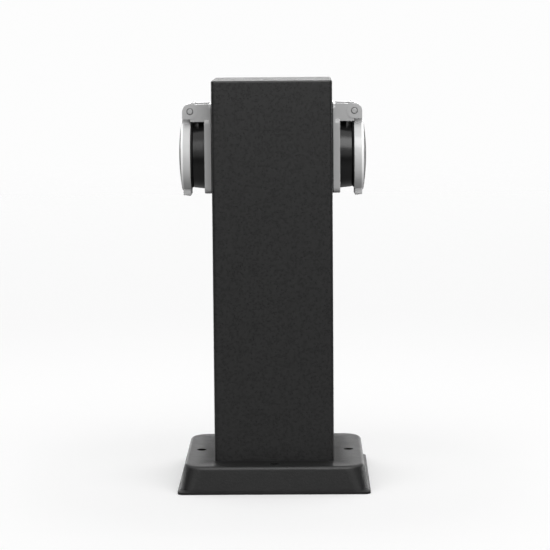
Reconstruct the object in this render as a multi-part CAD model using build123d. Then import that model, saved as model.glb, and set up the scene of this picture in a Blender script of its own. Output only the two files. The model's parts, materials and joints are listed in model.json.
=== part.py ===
from build123d import *
import math
import os

# A garden power post: a square column on a skirted base, with one lidded socket on each side.
# Millimetres. +X points right, +Y to the back, +Z up. The origin is under the middle of the base.
# Each socket is modelled on the right side, along +X, and mirrored for the left side.

# Shared values
cut_overrun = 1.0            # how far a cutting solid runs past the face that it cuts
fit_gap = 0.2                # clearance between fixed pieces that slide together
turn_gap = 0.3               # clearance between pieces that move past each other
thread_gap = 0.05            # clearance between a screw and its thread, as plain cylinders
total_height = 272.0

# Column
column_width = 80.0
column_wall = 2.0
column_corner_radius = 3.0
column_top_edge_radius = 1.0

# Base
base_width = 128.0
base_top_width = 120.0
base_height = 18.0
base_wall = 3.0
base_corner_radius = 9.0
base_top_corner_radius = 14.0
base_edge_radius = 2.8
base_lip_height = 1.7
base_lip_step = 1.9
base_lip_slope = 0.6
base_lip_corner_radius = 4.0
fixing_circle = 101.0
fixing_hole = 6.0
fixing_boss = 12.0
locating_bar_gap = 4.0       # between a bar's end and the corner tab
locating_bar_height = 3.0
locating_bar_thickness = 2.0
base_rib_height = 8.0
base_rib_thickness = 2.0

# Corner tabs and the screws that hold the column down
tab_size = 16.0
tab_thickness = 3.0
tab_inner_radius = 4.0
column_screw = 4.0
column_screw_head = 7.6
column_screw_head_height = 2.6
column_screw_end = 4.5       # how far the screw stands out above the tab
drive_width = 0.8            # slots of the cross recess in a screw head
drive_depth = 1.1
drive_length_share = 0.6     # of the head's width

# Cable gland
gland_hex = 24.0
gland_collar_height = 5.0
gland_thread = 19.8
gland_thread_up = 10.0
gland_thread_down = 10.5
gland_bore = 13.0
gland_locknut_height = 5.0
gland_seal_outer = 17.0
gland_seal_inset = 7.0
gland_nut_height = 16.0
gland_nut_round = 3.0
gland_nut_top_wall = 2.0

# Socket place and frame
socket_drop = 50.7           # the socket's axis below the top of the column
gasket_thickness = 0.8
panel_hole = 44.0
frame_width = 50.0
frame_low = -24.9            # heights in this part are from the socket's axis
frame_body_top = 24.7
frame_top = 34.8
frame_layer = 1.3            # thin layer of the frame against the gasket
frame_depth = 4.5
frame_corner_radius = 3.5
frame_edge_radius = 0.7
frame_screw_spacing = 38.0
frame_screw = 3.5
frame_screw_head = 6.0
frame_screw_head_depth = 1.6
frame_screw_length = 11.5
frame_nut_hex = 6.0
frame_nut_height = 2.6

# Hinge
pin_out = 15.05              # reaches named out are from the column's face
pin_up = 29.7
pin_diameter = 3.6
pin_ring = 4.1               # counterbore round the end of the pin
pin_ring_depth = 0.8
pin_dome = 0.3
arm_inner_y = 12.5
arm_thickness = 3.5
arm_pad = 0.3
arm_tip_out = 20.3
arm_step_out = 15.0
arm_low = 22.8
arm_tip_low = 24.5
arm_tip_top = 34.1
arm_tip_radius = 5.2
stop_ledge_reach = 5.0
stop_ledge_low = 23.5
spring_peg_length = 5.4
spring_peg_height = 1.7

# Lid
lid_open_deg = 95.0
lid_diameter = 49.2
lid_inner_out = 14.9
lid_rim_out = 19.7
lid_step_out = 21.0
lid_apex_out = 23.2
lid_step_in = 0.5
lid_dome_in = 1.0
lid_dome_step = 0.25
lid_wall = 1.8
lid_hollow_diameter = 36.4
barrel_length = 5.6
barrel_radius = 3.6
hood_wall = 1.6
heel_offset = 5.45
heel_radius = 0.9
leg_rib_thickness = 1.6
leg_rib_low = 22.2
web_low = 20.2
web_rib_out = 15.6
tab_low = -27.5
tab_top = -21.5
tab_inner_out = 15.5
tab_outer_out = 20.3
tab_width = 18.0
tab_radius = 1.5
tab_slant = 0.6              # rise of the tab's end towards its outer face
tab_rib_width = 12.0         # rib behind the tab, flush with the lid's inner face
tab_rib_low = -26.6

# Lid seal
seal_inner = 39.8
seal_outer = 45.6
seal_depth = 2.0
seal_lip = 1.1
seal_groove_gap = 0.1

# Lid spring
wire = 0.8
coil_diameter = 5.8
coil_pitch = 1.35
coil_quarter_turns = 29
leg_in_length = 7.6
leg_down_length = 5.1

# Socket insert
insert_face_out = 13.6
insert_rim_diameter = 48.4
insert_rim_thickness = 1.5
insert_diameter = 43.0
collar_root_diameter = 46.2
collar_face_diameter = 44.6
collar_chamfer = 0.5
recess_diameter = 39.0
recess_depth = 17.5
recess_chamfer = 0.8
recess_floor = 2.5
pin_spacing = 19.0
pin_hole = 5.2
pin_lead_in = 0.7
guide_width = 6.0
guide_height = 2.0
guide_set_back = 3.0
centre_screw = 3.0
centre_screw_head = 6.0
centre_screw_head_height = 1.2
centre_screw_length = 9.0

# Earth bracket
earth_strip_width = 6.4
earth_strip_thickness = 0.8
tongue_root_radius = 19.0
tongue_bump_radius = 16.2
tongue_tip_radius = 18.1
tongue_straight = 4.0
tongue_bump_set_back = 7.6   # behind the collar's face
tongue_tip_set_back = 3.6
tongue_room = 0.5

# Contact carrier and contacts
carrier_back_in = 24.8       # depths named in are from the column's face inwards
sleeve_outer = 6.8
sleeve_bore = 4.9
sleeve_back_in = 22.0
sleeve_slit = 1.0
cage_back_in = 23.2
cage_length = 8.0
cage_width = 7.6
cage_near = 3.0              # near and far faces of a live cage, from the socket's axis
cage_far = 12.6
cage_wire_bore = 3.2
cage_wire_offset = 7.6
cage_wire_depth = 6.5
earth_cage_shift = 3.2       # how much further out the earth cage lies
terminal_screw = 3.0
terminal_screw_head = 5.2
terminal_screw_head_height = 2.0

# Terminal bracket and block
bracket_width = 48.0
bracket_thickness = 1.5
bracket_tab_gap = 1.0        # between the bracket's back and the corner tabs
bracket_top_z = 90.0
bracket_foot = 12.0
bracket_foot_gap = 2.0       # between the foot's end and the corner tab
bracket_screw = 3.5
bracket_screw_head = 6.6
bracket_screw_head_height = 2.2
bracket_screw_length = 9.0
bracket_screw_inset = 5.0    # from the foot's end
bracket_boss = 7.6
bracket_boss_height = 7.0
block_width = 34.0
block_depth = 18.0
block_height = 24.0
block_low_z = 60.0
block_ear_width = 6.0
block_ear_depth = 4.0
block_ear_height = 10.0
block_screw = 3.0
block_screw_head = 5.4
block_screw_head_height = 1.8
block_screw_length = 7.5
pole_pitch = 11.0
clamp_width = 6.6
clamp_depth = 14.0
clamp_inset = 3.0            # of the clamp's ends inside the block
clamp_screw = 3.0
clamp_screw_head = 4.6
clamp_screw_head_height = 1.4
clamp_screw_inset = 5.0

# Wires
wire_core = 3.0
wire_hole = 3.3
wire_pair_offset = 4.0       # either side of the clamp's middle
wire_rise_z = 106.0
wire_join = -45.3            # from the socket's axis
wire_lane_x = 2.3
arc_run_share = 0.45         # of the shorter run beside a bend, taken by its arc

# Earth lug of the housing
lug_outer = 8.4
lug_thickness = 0.8
lug_barrel_outer = 4.4
lug_barrel_length = 7.0
earth_nut_hex = 7.0
earth_nut_height = 3.2

# Places worked out from the sizes above
half_column = column_width / 2
socket_axis_z = total_height - socket_drop
frame_low_z = socket_axis_z + frame_low
frame_body_top_z = socket_axis_z + frame_body_top
frame_top_z = socket_axis_z + frame_top
pin_x = half_column + pin_out
pin_z = socket_axis_z + pin_up
arm_tip_x = half_column + arm_tip_out
arm_step_x = half_column + arm_step_out
arm_low_z = socket_axis_z + arm_low
arm_tip_low_z = socket_axis_z + arm_tip_low
arm_tip_top_z = socket_axis_z + arm_tip_top
stop_ledge_low_z = socket_axis_z + stop_ledge_low
lid_inner_x = half_column + lid_inner_out
lid_rim_x = half_column + lid_rim_out
lid_step_x = half_column + lid_step_out
lid_apex_x = half_column + lid_apex_out
leg_rib_low_z = socket_axis_z + leg_rib_low
web_low_z = socket_axis_z + web_low
web_rib_x = half_column + web_rib_out
tab_low_z = socket_axis_z + tab_low
tab_top_z = socket_axis_z + tab_top
tab_rib_low_z = socket_axis_z + tab_rib_low
tab_inner_x = half_column + tab_inner_out
tab_outer_x = half_column + tab_outer_out
insert_face_x = half_column + insert_face_out
carrier_back_x = half_column - carrier_back_in
sleeve_back_x = half_column - sleeve_back_in
cage_back_x = half_column - cage_back_in
wire_join_z = socket_axis_z + wire_join
gasket_face_x = half_column + gasket_thickness
frame_face_x = gasket_face_x + frame_depth
layer_face_x = gasket_face_x + frame_layer
insert_rim_x = gasket_face_x + insert_rim_thickness
floor_face_x = insert_face_x - recess_depth
floor_back_x = floor_face_x - recess_floor
carrier_diameter = insert_diameter - 2 * fit_gap
arm_outer_y = arm_inner_y + arm_thickness
lid_hinge_y = arm_inner_y - turn_gap
barrel_inner_y = lid_hinge_y - barrel_length
hood_radius = barrel_radius + hood_wall
stop_ledge_top_z = pin_z - coil_diameter / 2 - wire / 2 - turn_gap
plateau_under_z = base_height - base_wall
tab_hole = half_column - column_wall - tab_size / 2
tab_inner_edge = tab_hole - tab_size / 2
locating_bar_length = 2 * (tab_inner_edge - locating_bar_gap)
bracket_front_y = tab_inner_edge - bracket_tab_gap - bracket_thickness
bracket_foot_width = 2 * (tab_inner_edge - bracket_foot_gap)
bracket_screw_spacing = bracket_foot_width - 2 * bracket_screw_inset
block_top_z = block_low_z + block_height
block_mid_y = bracket_front_y - block_depth / 2
pole_places = [-pole_pitch, 0, pole_pitch]


def turned(outline):
    """A solid turned about the X axis from its outline of (x, radius) points."""
    face = make_face(Polyline([(x, radius) for x, radius in outline], close=True))
    return revolve(face, axis=Axis.X)


def rod_x(diameter, x_low, x_high, y=0, z=0):
    """A round bar along X."""
    bar = Rot(0, 90, 0) * Cylinder(diameter / 2, x_high - x_low)
    return Pos((x_low + x_high) / 2, y, z) * bar


def rod_y(diameter, y_low, y_high, x=0, z=0):
    """A round bar along Y."""
    bar = Rot(90, 0, 0) * Cylinder(diameter / 2, y_high - y_low)
    return Pos(x, (y_low + y_high) / 2, z) * bar


def rod_z(diameter, z_low, z_high, x=0, y=0):
    """A round bar along Z."""
    return Pos(x, y, (z_low + z_high) / 2) * Cylinder(diameter / 2, z_high - z_low)


def block(x_low, x_high, y_low, y_high, z_low, z_high):
    """A square block from its low and high corners."""
    middle = ((x_low + x_high) / 2, (y_low + y_high) / 2, (z_low + z_high) / 2)
    return Pos(*middle) * Box(x_high - x_low, y_high - y_low, z_high - z_low)


def hex_z(across_flats, z_low, z_high, x=0, y=0):
    """A six-sided bar along Z."""
    outline = RegularPolygon(across_flats / 2, 6, major_radius=False)
    return Pos(x, y, z_low) * extrude(outline, z_high - z_low)


def square_slab(low_width, low_radius, high_width, high_radius, z_low, z_high):
    """A solid between two rounded squares at two heights."""
    low = Pos(0, 0, z_low) * RectangleRounded(low_width, low_width, low_radius)
    high = Pos(0, 0, z_high) * RectangleRounded(high_width, high_width, high_radius)
    return loft([low.face(), high.face()], ruled=True)


def cross_recess(head_width, depth):
    """Two crossed slots, sunk from the origin down along -Z."""
    length = head_width * drive_length_share
    top = cut_overrun
    slot = block(-length / 2, length / 2, -drive_width / 2, drive_width / 2, -depth, top)
    return slot + Rot(0, 0, 90) * slot


def pan_screw(diameter, length, head_width, head_height):
    """A screw whose head sits on the origin's plane, with its shank down along -Z."""
    head = rod_z(head_width, 0, head_height)
    rim = head.edges().group_by(Axis.Z)[-1]
    head = fillet(rim, head_height / 2)
    shank = rod_z(diameter, -length, 0)
    depth = min(drive_depth, head_height / 2)
    return head + shank - Pos(0, 0, head_height) * cross_recess(head_width, depth)


def group(solids):
    """Separate solids that share one node."""
    return Compound(children=[piece for solid in solids for piece in solid.solids()])


def make_column():
    inner_width = column_width - 2 * column_wall
    height = total_height - base_height
    shell = square_slab(
        column_width, column_corner_radius, column_width, column_corner_radius, base_height, total_height
    )
    shell = fillet(shell.edges().group_by(Axis.Z)[-1], column_top_edge_radius)
    inner_radius = column_corner_radius - column_wall
    inner = Pos(0, 0, base_height - cut_overrun) * extrude(
        RectangleRounded(inner_width, inner_width, inner_radius), height - column_wall + cut_overrun
    )
    reach = half_column + cut_overrun
    shell = shell - inner - rod_x(panel_hole, -reach, reach, z=socket_axis_z)
    for y, z in frame_screw_places():
        shell -= rod_x(frame_screw + fit_gap, -reach, reach, y, z)
    return shell


def corner_places():
    return [(x, y) for x in (-tab_hole, tab_hole) for y in (-tab_hole, tab_hole)]


def make_corner_tabs():
    tabs = []
    for x, y in corner_places():
        plate = Pos(x, y, base_height) * extrude(Rectangle(tab_size, tab_size), tab_thickness)
        upright = plate.edges().filter_by(Axis.Z).sort_by_distance((0, 0, base_height))
        plate = fillet(upright[0], tab_inner_radius)
        wall_corner = plate.edges().filter_by(Axis.Z).sort_by_distance((0, 0, base_height))[-1]
        plate = fillet(wall_corner, column_corner_radius - column_wall + fit_gap)
        hole = rod_z(column_screw + 2 * thread_gap, base_height - cut_overrun, bracket_top_z, x, y)
        tabs.append(plate - hole)
    return group(tabs)


def fixing_places():
    reach = fixing_circle / 2
    return [(reach, 0), (0, reach), (-reach, 0), (0, -reach)]


def make_base_plate():
    lip_width = base_width
    foot_width = base_width - 2 * base_lip_step
    shoulder_z = base_lip_height + base_lip_slope
    radius = base_corner_radius
    lip_radius = base_lip_corner_radius
    lip = square_slab(lip_width, lip_radius, lip_width, lip_radius, 0, base_lip_height)
    shoulder = square_slab(lip_width, lip_radius, foot_width, radius, base_lip_height, shoulder_z)
    skirt = square_slab(
        foot_width, radius, base_top_width, base_top_corner_radius, shoulder_z, base_height
    )
    skirt = fillet(skirt.edges().group_by(Axis.Z)[-1], base_edge_radius)
    hollow = square_slab(
        foot_width - 2 * base_wall, radius - base_wall,
        base_top_width - 2 * base_wall, base_top_corner_radius - base_wall,
        -cut_overrun, plateau_under_z,
    )
    plate = lip + shoulder + skirt - hollow
    inside = square_slab(
        foot_width - base_wall, radius, base_top_width - base_wall, base_top_corner_radius,
        0, plateau_under_z,
    )
    for x, y in fixing_places():
        boss = rod_z(fixing_boss, 0, plateau_under_z + base_wall / 2, x, y)
        across = base_rib_thickness / 2
        outward = base_width / 2
        low_z = plateau_under_z - base_rib_height
        if x:
            far = math.copysign(outward, x)
            rib = block(min(x, far), max(x, far), -across, across, low_z, plateau_under_z)
        else:
            far = math.copysign(outward, y)
            rib = block(-across, across, min(y, far), max(y, far), low_z, plateau_under_z)
        plate += boss + (rib & inside)
    for x, y in bracket_screw_places():
        plate += rod_z(bracket_boss, plateau_under_z - bracket_boss_height, plateau_under_z, x, y)
    bar_edge = half_column - column_wall - fit_gap
    half_length = locating_bar_length / 2
    bar_low = base_height - base_wall / 2
    bar_top = base_height + locating_bar_height
    bar = block(
        -half_length, half_length, bar_edge - locating_bar_thickness, bar_edge, bar_low, bar_top
    )
    for turn in range(4):
        plate += Rot(0, 0, 90 * turn) * bar
    for x, y in fixing_places():
        plate -= rod_z(fixing_hole, -cut_overrun, base_height + cut_overrun, x, y)
    for x, y in corner_places():
        hole = column_screw + 2 * fit_gap
        plate -= rod_z(hole, 0, base_height + cut_overrun, x, y)
    for x, y in bracket_screw_places():
        hole = bracket_screw + 2 * thread_gap
        low_z = plateau_under_z - bracket_boss_height - cut_overrun
        plate -= rod_z(hole, low_z, base_height + cut_overrun, x, y)
    hole = gland_thread + 2 * fit_gap
    return plate - rod_z(hole, 0, base_height + cut_overrun)


def make_column_screws():
    reach = base_wall + tab_thickness + column_screw_end
    screw = pan_screw(column_screw, reach, column_screw_head, column_screw_head_height)
    upright = Rot(180, 0, 0) * screw
    return group([Pos(x, y, plateau_under_z) * upright for x, y in corner_places()])


def make_gland_body():
    top_z = base_height + gland_collar_height + gland_thread_up
    body = hex_z(gland_hex, base_height, base_height + gland_collar_height)
    body += rod_z(gland_thread, base_height - gland_thread_down, top_z)
    seat_z = top_z - gland_seal_inset
    body -= rod_z(gland_seal_outer + 2 * fit_gap, seat_z, top_z + cut_overrun)
    return body - rod_z(gland_bore, 0, top_z)


def make_gland_seal():
    top_z = base_height + gland_collar_height + gland_thread_up
    low_z = top_z - gland_seal_inset + fit_gap
    nut_under_z = gland_nut_top_z() - gland_nut_top_wall - fit_gap
    seal = rod_z(gland_seal_outer, low_z, nut_under_z)
    return seal - rod_z(gland_bore, 0, total_height)


def gland_nut_top_z():
    return base_height + gland_collar_height + fit_gap + gland_nut_height


def make_gland_nut():
    low_z = base_height + gland_collar_height + fit_gap
    top_z = gland_nut_top_z()
    nut = hex_z(gland_hex, low_z, top_z)
    dome = rod_z(gland_hex, low_z, top_z)
    dome = fillet(dome.edges().group_by(Axis.Z)[-1], gland_nut_round)
    grip = hex_z(gland_hex, low_z, (low_z + top_z) / 2)
    nut = (nut & dome) + grip
    bore = gland_thread + 2 * thread_gap
    nut -= rod_z(bore, low_z - cut_overrun, top_z - gland_nut_top_wall)
    return nut - rod_z(gland_bore, 0, total_height)


def make_gland_locknut():
    low_z = plateau_under_z - gland_locknut_height
    nut = hex_z(gland_hex, low_z, plateau_under_z)
    return nut - rod_z(gland_thread + 2 * thread_gap, 0, base_height)


def bracket_screw_places():
    y = bracket_front_y + bracket_thickness + bracket_foot / 2
    return [(-bracket_screw_spacing / 2, y), (bracket_screw_spacing / 2, y)]


def block_screw_places():
    x = block_width / 2 + block_ear_width / 2
    return [(-x, block_low_z + block_height / 2), (x, block_low_z + block_height / 2)]


def make_terminal_bracket():
    half = bracket_width / 2
    back_y = bracket_front_y + bracket_thickness
    upright = block(-half, half, bracket_front_y, back_y, base_height, bracket_top_z)
    foot_top_z = base_height + bracket_thickness
    foot_half = bracket_foot_width / 2
    foot = block(
        -foot_half, foot_half, bracket_front_y, back_y + bracket_foot, base_height, foot_top_z
    )
    bracket = upright + foot
    for x, y in bracket_screw_places():
        bracket -= rod_z(bracket_screw + 2 * fit_gap, 0, bracket_top_z / 2, x, y)
    for x, z in block_screw_places():
        bracket -= rod_y(block_screw + 2 * thread_gap, 0, half_column, x, z)
    return bracket


def make_bracket_screws():
    screw = pan_screw(
        bracket_screw, bracket_screw_length, bracket_screw_head, bracket_screw_head_height
    )
    seat_z = base_height + bracket_thickness
    return group([Pos(x, y, seat_z) * screw for x, y in bracket_screw_places()])


def make_terminal_block():
    half = block_width / 2
    front_y = bracket_front_y - block_depth
    body = block(-half, half, front_y, bracket_front_y, block_low_z, block_top_z)
    for x, z in block_screw_places():
        reach = block_ear_width / 2 + fit_gap
        ear_y = bracket_front_y - block_ear_depth
        low_z = z - block_ear_height / 2
        body += block(x - reach, x + reach, ear_y, bracket_front_y, low_z, low_z + block_ear_height)
        body -= rod_y(block_screw + 2 * fit_gap, 0, half_column, x, z)
    for x in pole_places:
        room = clamp_width / 2 + fit_gap
        low_y = block_mid_y - clamp_depth / 2 - fit_gap
        high_y = block_mid_y + clamp_depth / 2 + fit_gap
        low_z = block_low_z + clamp_inset - fit_gap
        high_z = block_top_z - clamp_inset + fit_gap
        body -= block(x - room, x + room, low_y, high_y, low_z, high_z)
        for y in (block_mid_y - wire_pair_offset, block_mid_y + wire_pair_offset):
            body -= rod_z(wire_hole, block_top_z - clamp_inset - cut_overrun, bracket_top_z, x, y)
        low_hole = block_low_z + clamp_inset + cut_overrun
        body -= rod_z(wire_hole, block_low_z - cut_overrun, low_hole, x, block_mid_y)
        for z in clamp_screw_heights():
            hole = clamp_screw_head + 2 * fit_gap
            body -= rod_y(hole, front_y - cut_overrun, block_mid_y, x, z)
    return body


def clamp_screw_heights():
    return [block_low_z + clamp_inset + clamp_screw_inset, block_top_z - clamp_inset - clamp_screw_inset]


def make_clamp_bars():
    bars = []
    half = clamp_width / 2
    front_y = block_mid_y - clamp_depth / 2
    back_y = block_mid_y + clamp_depth / 2
    low_z = block_low_z + clamp_inset
    top_z = block_top_z - clamp_inset
    middle_z = (low_z + top_z) / 2
    for x in pole_places:
        bar = block(x - half, x + half, front_y, back_y, low_z, top_z)
        for y in (block_mid_y - wire_pair_offset, block_mid_y + wire_pair_offset):
            bar -= rod_z(wire_hole, middle_z, top_z + cut_overrun, x, y)
        bar -= rod_z(wire_hole, low_z - cut_overrun, middle_z, x, block_mid_y)
        for z in clamp_screw_heights():
            reach_y = block_mid_y - wire_hole / 2
            bar -= rod_y(clamp_screw + 2 * thread_gap, front_y - cut_overrun, reach_y, x, z)
        bars.append(bar)
    return group(bars)


def make_clamp_screws():
    front_y = block_mid_y - clamp_depth / 2
    screws = []
    for x in pole_places:
        for z, free_y in zip(clamp_screw_heights(), clamp_screw_ends()):
            length = free_y - front_y
            screw = pan_screw(clamp_screw, length, clamp_screw_head, clamp_screw_head_height)
            screws.append(Pos(x, front_y, z) * (Rot(90, 0, 0) * screw))
    return group(screws)


def clamp_screw_ends():
    """Where the lower and upper clamp screws end, just short of the wires."""
    lower = block_mid_y - wire_core / 2 - turn_gap
    upper = block_mid_y - wire_pair_offset - wire_core / 2 - turn_gap
    return [lower, upper]


def make_block_screws():
    seat_y = bracket_front_y - block_ear_depth
    screw = pan_screw(block_screw, block_screw_length, block_screw_head, block_screw_head_height)
    screws = [Pos(x, seat_y, z) * (Rot(90, 0, 0) * screw) for x, z in block_screw_places()]
    return group(screws)


def frame_screw_places():
    half = frame_screw_spacing / 2
    return [(y, socket_axis_z + z) for y in (-half, half) for z in (-half, half)]


def panel_outline(x, top_z):
    """The rounded outline of the socket frame, up to a height, standing at x."""
    height = top_z - frame_low_z
    outline = RectangleRounded(height, frame_width, frame_corner_radius)
    return Pos(x, 0, frame_low_z + height / 2) * (Rot(0, 90, 0) * outline)


def socket_turned(outline):
    return Pos(0, 0, socket_axis_z) * turned(outline)


def make_mounting_gasket():
    gasket = extrude(panel_outline(half_column, frame_top_z), gasket_thickness, dir=(1, 0, 0))
    gasket -= rod_x(insert_diameter + 2 * fit_gap, 0, gasket_face_x + cut_overrun, z=socket_axis_z)
    for y, z in frame_screw_places():
        gasket -= rod_x(frame_screw + fit_gap, 0, gasket_face_x + cut_overrun, y, z)
    return gasket


def arm_outline(x_start):
    points = [
        (x_start, 0, arm_low_z),
        (arm_step_x, 0, arm_low_z),
        (arm_step_x, 0, arm_tip_low_z),
        (arm_tip_x, 0, arm_tip_low_z),
        (arm_tip_x, 0, arm_tip_top_z),
        (x_start, 0, frame_top_z),
    ]
    return make_face(Polyline(points, close=True))


def side_plate(outline, y_low, y_high):
    """A plate across Y from an outline that stands on the XZ plane."""
    return extrude(Pos(0, y_low, 0) * outline, y_high - y_low, dir=(0, 1, 0))


def make_arm():
    """The hinge arm on the +Y side, with the raised pad round the pin."""
    arm = side_plate(arm_outline(gasket_face_x), arm_inner_y, arm_outer_y + arm_pad)
    tip = arm.edges().filter_by(Axis.Y).sort_by_distance((arm_tip_x, arm_outer_y, frame_top_z))[0]
    arm = fillet(tip, arm_tip_radius)
    pad_y = arm_outer_y + arm_pad + cut_overrun
    flat = block(0, pin_x, arm_outer_y, pad_y, arm_low_z - cut_overrun, frame_top_z + cut_overrun)
    pad_radius = arm_tip_x - pin_x
    flat -= rod_y(2 * pad_radius, arm_outer_y, pad_y, pin_x, pin_z)
    arm -= flat
    ring_y = arm_outer_y + arm_pad - pin_ring_depth
    return arm - rod_y(pin_ring, ring_y, pad_y, pin_x, pin_z)


def make_socket_frame():
    layer = extrude(panel_outline(gasket_face_x, frame_top_z), frame_layer, dir=(1, 0, 0))
    body = extrude(panel_outline(gasket_face_x, frame_body_top_z), frame_depth, dir=(1, 0, 0))
    body = fillet(body.edges().group_by(Axis.X)[-1], frame_edge_radius)
    arm = make_arm()
    frame = layer + body + arm + mirror(arm, Plane.XZ)
    ledge_x = frame_face_x + stop_ledge_reach
    frame += block(
        layer_face_x, ledge_x, -arm_inner_y, arm_inner_y, stop_ledge_low_z, stop_ledge_top_z
    )
    peg_top_z = pin_z + coil_diameter / 2 - wire / 2 - turn_gap
    peg_y = spring_start_y()
    frame += block(
        gasket_face_x, layer_face_x + spring_peg_length,
        peg_y - wire, peg_y + wire, peg_top_z - spring_peg_height, peg_top_z,
    )
    near = gasket_face_x - cut_overrun
    far = frame_face_x + cut_overrun
    frame -= rod_x(insert_rim_diameter + fit_gap, near, insert_rim_x + thread_gap, z=socket_axis_z)
    frame -= rod_x(collar_root_diameter + fit_gap, near, far, z=socket_axis_z)
    pin_bore = pin_diameter + 2 * thread_gap
    frame -= rod_y(pin_bore, -half_column, half_column, pin_x, pin_z)
    for y, z in frame_screw_places():
        frame -= rod_x(frame_screw + fit_gap, near, far, y, z)
        frame -= Pos(0, y, z) * turned(countersink_outline(thread_gap))
    return frame


def countersink_outline(gap):
    """Half the section of a countersunk head, or of its hole with a gap round it."""
    head = frame_screw_head / 2 + gap
    neck = frame_screw / 2 + gap
    neck_x = frame_face_x - frame_screw_head_depth
    top_x = frame_face_x + cut_overrun * gap / thread_gap
    return [(neck_x, 0), (neck_x, neck), (frame_face_x, head), (top_x + gap, head), (top_x + gap, 0)]


def make_frame_screws():
    screws = []
    neck_x = frame_face_x - frame_screw_head_depth
    recess = Rot(0, 90, 0) * cross_recess(frame_screw_head, drive_depth)
    for y, z in frame_screw_places():
        head = Pos(0, y, z) * turned(
            [(neck_x, 0), (neck_x, frame_screw / 2), (frame_face_x, frame_screw_head / 2), (frame_face_x, 0)]
        )
        shank = rod_x(frame_screw, frame_face_x - frame_screw_length, neck_x, y, z)
        screws.append(head + shank - Pos(frame_face_x, y, z) * recess)
    return group(screws)


def make_frame_nuts():
    nuts = []
    inner_x = half_column - column_wall
    for y, z in frame_screw_places():
        nut = hex_z(frame_nut_hex, 0, frame_nut_height)
        nut -= rod_z(frame_screw + 2 * thread_gap, -cut_overrun, frame_nut_height + cut_overrun)
        nuts.append(Pos(inner_x - frame_nut_height, y, z) * (Rot(0, 90, 0) * nut))
    return group(nuts)


def make_hinge_pin():
    end_y = arm_outer_y + arm_pad
    pin = rod_y(pin_diameter, -end_y - pin_dome, end_y + pin_dome, pin_x, pin_z)
    ends = pin.edges().filter_by(GeomType.CIRCLE)
    return fillet(ends, pin_dome)


def heel_direction_deg():
    """The heel's lean from upright, towards the frame, so that it meets the ledge when open."""
    drop = pin_z - stop_ledge_top_z - turn_gap - heel_radius
    return 90 + math.degrees(math.asin(drop / heel_offset)) - lid_open_deg


def make_barrel(y_low, y_high):
    """One hinge barrel of the lid with its heel."""
    lean = math.radians(heel_direction_deg())
    heel_x = pin_x - heel_offset * math.sin(lean)
    heel_z = pin_z + heel_offset * math.cos(lean)
    heel = rod_y(2 * heel_radius, y_low, y_high, heel_x, heel_z)
    neck = block(-heel_radius, heel_radius, y_low, y_high, 0, heel_offset)
    neck = Pos(pin_x, 0, pin_z) * (Rot(0, -heel_direction_deg(), 0) * neck)
    return rod_y(2 * barrel_radius + 2 * thread_gap, y_low, y_high, pin_x, pin_z) + heel + neck


def make_hood():
    """The curved skin over the barrels and the spring, open towards the frame."""
    hood = rod_y(2 * hood_radius, -lid_hinge_y, lid_hinge_y, pin_x, pin_z)
    hood -= rod_y(2 * barrel_radius, -half_column, half_column, pin_x, pin_z)
    reach = hood_radius + cut_overrun
    end_y = lid_hinge_y + cut_overrun
    return hood & block(pin_x, pin_x + reach, -end_y, end_y, pin_z, pin_z + reach)


def lid_outline():
    """Half the section of the lid shell, as a face of (x, radius) edges."""
    rim = lid_diameter / 2
    dome_rim = rim - lid_dome_in
    hollow = lid_hollow_diameter / 2
    dome_x = lid_step_x + lid_dome_step
    rise = lid_apex_x - dome_x
    dome_radius = (dome_rim ** 2 + rise ** 2) / (2 * rise)
    inner_radius = dome_radius - lid_wall
    centre_x = lid_apex_x - dome_radius
    roof_x = centre_x + math.sqrt(inner_radius ** 2 - hollow ** 2)
    mid_radius = dome_rim / 2
    mid_x = centre_x + math.sqrt(dome_radius ** 2 - mid_radius ** 2)
    inner_mid_x = centre_x + math.sqrt(inner_radius ** 2 - (hollow / 2) ** 2)
    edges = Polyline(
        (roof_x, hollow), (lid_inner_x, hollow), (lid_inner_x, rim), (lid_rim_x, rim),
        (lid_step_x, rim - lid_step_in), (dome_x, dome_rim),
    )
    edges += ThreePointArc((dome_x, dome_rim), (mid_x, mid_radius), (lid_apex_x, 0))
    edges += Line((lid_apex_x, 0), (lid_apex_x - lid_wall, 0))
    edges += ThreePointArc(
        (lid_apex_x - lid_wall, 0), (inner_mid_x, hollow / 2), (roof_x, hollow)
    )
    return make_face(edges)


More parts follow.
